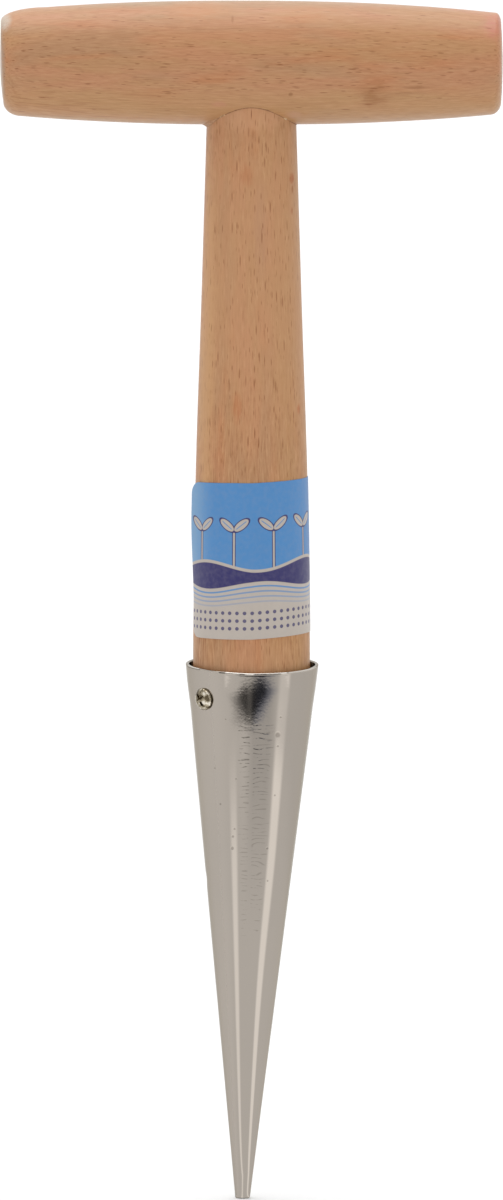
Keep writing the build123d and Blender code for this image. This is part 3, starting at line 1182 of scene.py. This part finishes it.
def card_strip(p, bearing, reach, near_middle, far_middle, offset, inner, outer, near, far, start, end):
    """Strength of a strip at a place on the card."""
    swing = p.math("DEGREES", p.over(offset, p.math("MAXIMUM", reach, STRAIGHT_REACH)))
    middle = p.ease(reach, DRIFT_NEAR, DRIFT_FAR, near_middle, far_middle)
    aside = p.away(p.minus(bearing, middle), swing)
    return p.times(p.ease(aside, outer, inner), p.ease(reach, near, far, start, end))


def card_lens(p, bearing, reach):
    """Strength of the dark lens at a place on the card."""
    across = p.over(p.minus(bearing, LENS_BEARING), LENS_WIDTH)
    off = p.minus(bearing, LENS_BOW_MIDDLE)
    climb = p.plus(p.times(p.times(off, off), LENS_BOW), p.times(bearing, LENS_CLIMB))
    climb = p.minus(climb, p.ease(p.away(bearing, LENS_DIP_MIDDLE), 3, 16, LENS_DIP, 0))
    along = p.over(p.minus(p.minus(reach, LENS_REACH), climb), LENS_DEPTH)
    ragged = p.noise(p.place(), (45, 280, 0), 5, 0.7)
    far = p.plus(p.length(across, along), p.times(ragged, 0.6))
    inner = p.ease(along, -0.3, 0.5, 0.85, 1.0)
    outer = p.ease(along, -0.3, 0.5, 2.0, 1.4)
    lens = p.times(p.ease(far, outer, inner), p.ease(bearing, -16, 14, 0.915, 0.955))
    return p.times(lens, p.ease(p.away(bearing, LENS_SPLIT), 1, 7, 0.9, 1))


def lay_card():
    """Card on the floor in front, seen only in gloss: bright strips and a dark lens."""
    p = Paint("studio_card", CARD_COLOUR)
    x, y, _ = p.split(p.place())
    from_foot = p.minus(x, CONE_FOOT.x)
    bearing = p.math("DEGREES", p.math("ARCTAN2", from_foot, p.times(y, -1.0)))
    reach = p.distance(p.place(), (0, 0, CARD_Z))
    aside = p.away(bearing, CARD_MIDDLE)
    level = p.ease(aside, 0.6 * CARD_SPAN, 0.95 * CARD_SPAN, CARD_LEVEL, CARD_EDGE_LEVEL)
    for values in STRIPS:
        level = p.plus(card_strip(p, bearing, reach, *values), level)
    for values in SHADES:
        level = p.times(level, p.minus(1.0, card_strip(p, bearing, reach, *values)))
    lens = card_lens(p, bearing, reach)
    blue = p.times(lens, p.ease(bearing, -4, 14))
    tint = p.mix(blue, WHITE, LENS_BLUE)
    level = p.times(level, p.minus(1.0, lens))
    paint = p.finish(Specular_IOR_Level=0.0, Emission_Color=tint, Emission_Strength=level)
    sweep = [radians(a) for a in spread(CARD_MIDDLE - CARD_SPAN, CARD_MIDDLE + CARD_SPAN, 40)]
    outline = [(CARD_REACH * sin(a), -CARD_REACH * cos(a)) for a in sweep] + [(0, 0)]
    card = flat_piece("studio_card", outline, CARD_Z, paint)
    card.visible_camera = False
    card.visible_diffuse = False
    card.visible_shadow = False
    card.visible_transmission = False


def add_light(name, energy, direction):
    """Broad soft light."""
    data = bpy.data.lights.new(name, "SUN")
    data.energy = energy
    data.angle = LIGHT_SOFTNESS
    lamp = add_object(name, data)
    lamp.rotation_euler = Vector(direction).to_track_quat("-Z", "Y").to_euler()


def add_camera():
    """Long lens from the front, framed as the photograph is."""
    back = Vector((0, -cos(CAMERA_RISE), sin(CAMERA_RISE)))
    up = Vector((0, sin(CAMERA_RISE), cos(CAMERA_RISE)))
    aim = Vector((0, 0, HANDLE_Z / 2))

    def seen_height(point):
        offset = point - aim
        return offset.dot(up) * CAMERA_DISTANCE / (CAMERA_DISTANCE - offset.dot(back))

    top = seen_height(Vector((0, 0, HANDLE_Z)) + up * HANDLE_RADIUS)
    bottom = seen_height(CONE_FOOT + CONE_FRONT * CONE_TIP)
    frame_height = (top - bottom) * PHOTO_HEIGHT / (PHOTO_HEIGHT - PHOTO_MARGIN)
    pixel = frame_height / PHOTO_HEIGHT
    aim += up * ((top + bottom) / 2 - pixel * PHOTO_RAISE)
    aim.x += pixel * (PHOTO_WIDTH / 2 - PHOTO_AXIS)
    data = bpy.data.cameras.new("camera")
    data.sensor_width = SENSOR
    data.lens = SENSOR * CAMERA_DISTANCE / frame_height
    data.clip_end = CLIP_END
    camera = add_object("camera", data)
    camera.location = aim + back * CAMERA_DISTANCE
    camera.rotation_euler = (-back).to_track_quat("-Z", "Y").to_euler()
    bpy.context.scene.camera = camera


dress()
lay_floor()
lay_card()
light_world()
for light, settings in LIGHTS.items():
    add_light(light, *settings)
add_camera()
bpy.context.scene.view_settings.view_transform = "Standard"
